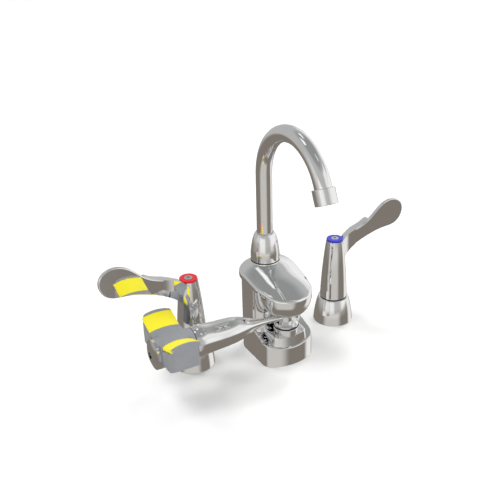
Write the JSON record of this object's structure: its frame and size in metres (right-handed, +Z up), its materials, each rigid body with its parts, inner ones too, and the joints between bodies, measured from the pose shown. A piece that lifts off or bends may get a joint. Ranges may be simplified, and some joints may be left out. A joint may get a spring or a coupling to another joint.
{
  "type": "eyewash faucet",
  "caption": "Deck-mounted chrome faucet with a gooseneck spout, wrist-blade handles and a swing-out twin-spray eyewash arm under flip-up dust covers.",
  "frame": {"origin": "on the deck, on the axis of the gooseneck's riser, midway between the two handles", "axes": "+X to the user's right (cold side), +Y to the wall, +Z up"},
  "size_m": [0.4132, 0.1657, 0.3565],
  "materials": {
    "chrome": "mirror polished chrome plate",
    "brass": "plain machined brass",
    "steel": "plain stainless steel",
    "black_rubber": "smooth black rubber",
    "grey_plastic": "smooth moulded grey",
    "yellow_plastic": "smooth moulded yellow",
    "red_plastic": "glossy red",
    "blue_plastic": "glossy blue",
    "white_plastic": "plain white acetal"
  },
  "bodies": {
    "root": {"body_casting": "chrome", "cold_base": "chrome", "cold_cartridge": "brass", "cold_deck_washer": "steel", "cold_joint_seal": "black_rubber", "cold_locknut": "brass", "cold_valve_body": "brass", "collar_seal": "black_rubber", "deck_gasket": "black_rubber", "eyewash_cartridge": "brass", "eyewash_deck_washer": "steel", "eyewash_locknut": "brass", "eyewash_shank": "brass", "hot_base": "chrome", "hot_cartridge": "brass", "hot_deck_washer": "steel", "hot_joint_seal": "black_rubber", "hot_locknut": "brass", "hot_valve_body": "brass", "pivot_bush": "white_plastic", "ring_seal": "black_rubber", "spout_bearing": "white_plastic", "spout_collar": "chrome", "spout_deck_washer": "steel", "spout_locknut": "brass", "spout_shank": "brass", "valve_ring": "chrome"},
    "spout": {"spout_tube": "chrome", "spout_insert": "brass", "spout_orings": "black_rubber", "aerator_housing": "chrome", "aerator_gasket": "black_rubber", "aerator_insert": "white_plastic"},
    "eyewash": {"swing_hub": "chrome", "hub_orings": "black_rubber", "valve_driver": "brass", "eyewash_arm": "chrome", "arm_seal": "black_rubber", "eyewash_head": "grey_plastic", "end_cap": "chrome", "front_cover_pin": "steel", "rear_cover_pin": "steel", "front_spray_nozzle": "white_plastic", "rear_spray_nozzle": "white_plastic"},
    "hot": {"hot_handle": "chrome", "hot_index_ring": "red_plastic", "hot_handle_screw": "steel", "hot_stem": "brass"},
    "cold": {"cold_handle": "chrome", "cold_index_ring": "blue_plastic", "cold_handle_screw": "steel", "cold_stem": "brass"},
    "front_cover": {"front_dust_cover": "yellow_plastic"},
    "rear_cover": {"rear_dust_cover": "yellow_plastic"}
  },
  "joints": [
    {"name": "spout_swing", "type": "hinge", "parent": "root", "child": "spout", "pos_m": [0, 0, 0.14], "axis": [0, 0, 1], "range_deg": [-60, 60]},
    {"name": "eyewash_swing", "type": "hinge", "parent": "root", "child": "eyewash", "pos_m": [0, -0.0485, 0.06], "axis": [0, 0, 1], "range_deg": [0, 90]},
    {"name": "hot_turn", "type": "hinge", "parent": "root", "child": "hot", "pos_m": [-0.1016, 0, 0.08], "axis": [0, 0, 1], "range_deg": [0, 90]},
    {"name": "cold_turn", "type": "hinge", "parent": "root", "child": "cold", "pos_m": [0.1016, 0, 0.08], "axis": [0, 0, 1], "range_deg": [-90, 0]},
    {"name": "front_cover_flip", "type": "hinge", "parent": "eyewash", "child": "front_cover", "pos_m": [-0.162, -0.06656, 0.07683], "axis": [0, -0.9367, 0.3502], "range_deg": [0, 100]},
    {"name": "rear_cover_flip", "type": "hinge", "parent": "eyewash", "child": "rear_cover", "pos_m": [-0.162, -0.03044, 0.07683], "axis": [0, -0.9367, -0.3502], "range_deg": [0, 100]}
  ]
}
